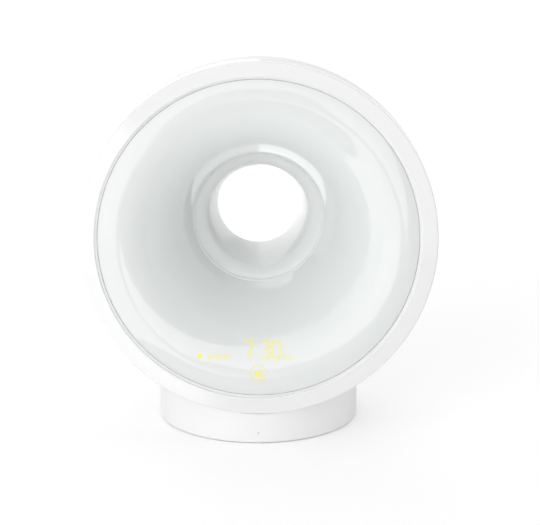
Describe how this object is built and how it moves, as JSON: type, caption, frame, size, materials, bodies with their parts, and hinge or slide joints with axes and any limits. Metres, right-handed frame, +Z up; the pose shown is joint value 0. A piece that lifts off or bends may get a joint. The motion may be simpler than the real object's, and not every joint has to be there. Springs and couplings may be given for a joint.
{
  "type": "sunrise alarm clock",
  "caption": "Bedside wake-up light clock: ring-shaped body with an opal funnel diffuser round a see-through tube, on a low round base with sockets at the back.",
  "frame": {"origin": "centre of the base, on the plane of its ring-shaped foot", "axes": "+Z up, the clock faces -Y, +X to the right as seen from the front"},
  "size_m": [0.219, 0.1249, 0.238],
  "materials": {
    "aluminium": "plain",
    "black_plastic": "black moulded",
    "capacitor": "sleeved",
    "clear_film": "clear film",
    "cone": "pressed paper",
    "copper": "enamelled wire",
    "dark_screws": "black oxide",
    "display_glow": "translucent light guides",
    "green_board": "green solder mask",
    "grey_foam": "closed-cell foam",
    "led": "moulded resin",
    "magnet": "ferrite",
    "opal_diffuser": "polished opal with a faint green-grey tint",
    "plated": "nickel plated",
    "rubber": "soft black",
    "spider": "corrugated cloth",
    "steel": "plated steel",
    "tongue": "white moulded",
    "white_board": "white solder mask",
    "white_button": "satin white",
    "white_gloss": "polished white",
    "white_inner": "reflective white",
    "white_matt": "fine satin-matt moulded white",
    "wire": "sleeved bundle"
  },
  "bodies": {
    "root": {"aux_jack": "black_plastic", "backup_cell": "steel", "base_plate": "white_matt", "base_screws": "dark_screws", "base_shell": "white_matt", "board_chips": "black_plastic", "board_screws": "steel", "button_board": "green_board", "button_bracket": "steel", "capacitors": "capacitor", "cell_holder": "black_plastic", "centre_tube": "white_gloss", "dc_jack": "black_plastic", "dc_pin": "plated", "diffuser_gasket": "grey_foam", "display_board": "green_board", "display_leds": "led", "display_mask": "black_plastic", "display_segments": "display_glow", "frame_screws": "steel", "front_diffuser": "opal_diffuser", "heat_spreader": "aluminium", "led_board": "white_board", "led_chips": "led", "light_reflector": "white_inner", "main_board": "green_board", "mid_frame": "white_inner", "neck_bracket": "steel", "neck_screws": "steel", "rear_shell": "white_matt", "rim_ring": "white_matt", "rubber_foot": "rubber", "sensor_board": "green_board", "sensor_light_pipe": "clear_film", "speaker_frame": "black_plastic", "speaker_gasket": "grey_foam", "speaker_magnet": "magnet", "speaker_spider": "spider", "speaker_surround": "rubber", "tact_switches": "black_plastic", "touch_film": "clear_film", "usb_port": "plated", "usb_tongue": "tongue", "wire_connectors": "white_inner", "wire_harness": "wire"},
    "lamp_button": {"lamp_button": "white_button", "lamp_switch_plunger": "black_plastic"},
    "sunset_button": {"sunset_button": "white_button", "sunset_switch_plunger": "black_plastic"},
    "speaker_cone": {"speaker_cone": "cone", "voice_coil": "copper"}
  },
  "joints": [
    {"name": "lamp_button_press", "type": "slide", "parent": "root", "child": "lamp_button", "axis": [0, -0.7119, -0.7023], "range_m": [0, 0.0008], "stiffness_N_per_m": 900},
    {"name": "sunset_button_press", "type": "slide", "parent": "root", "child": "sunset_button", "axis": [0, -0.7119, -0.7023], "range_m": [0, 0.0008], "stiffness_N_per_m": 900},
    {"name": "speaker_cone_travel", "type": "slide", "parent": "root", "child": "speaker_cone", "axis": [0, 0, 1], "range_m": [-0.0006, 0.0006], "stiffness_N_per_m": 1500, "deforming": ["speaker_surround", "speaker_spider"]}
  ]
}
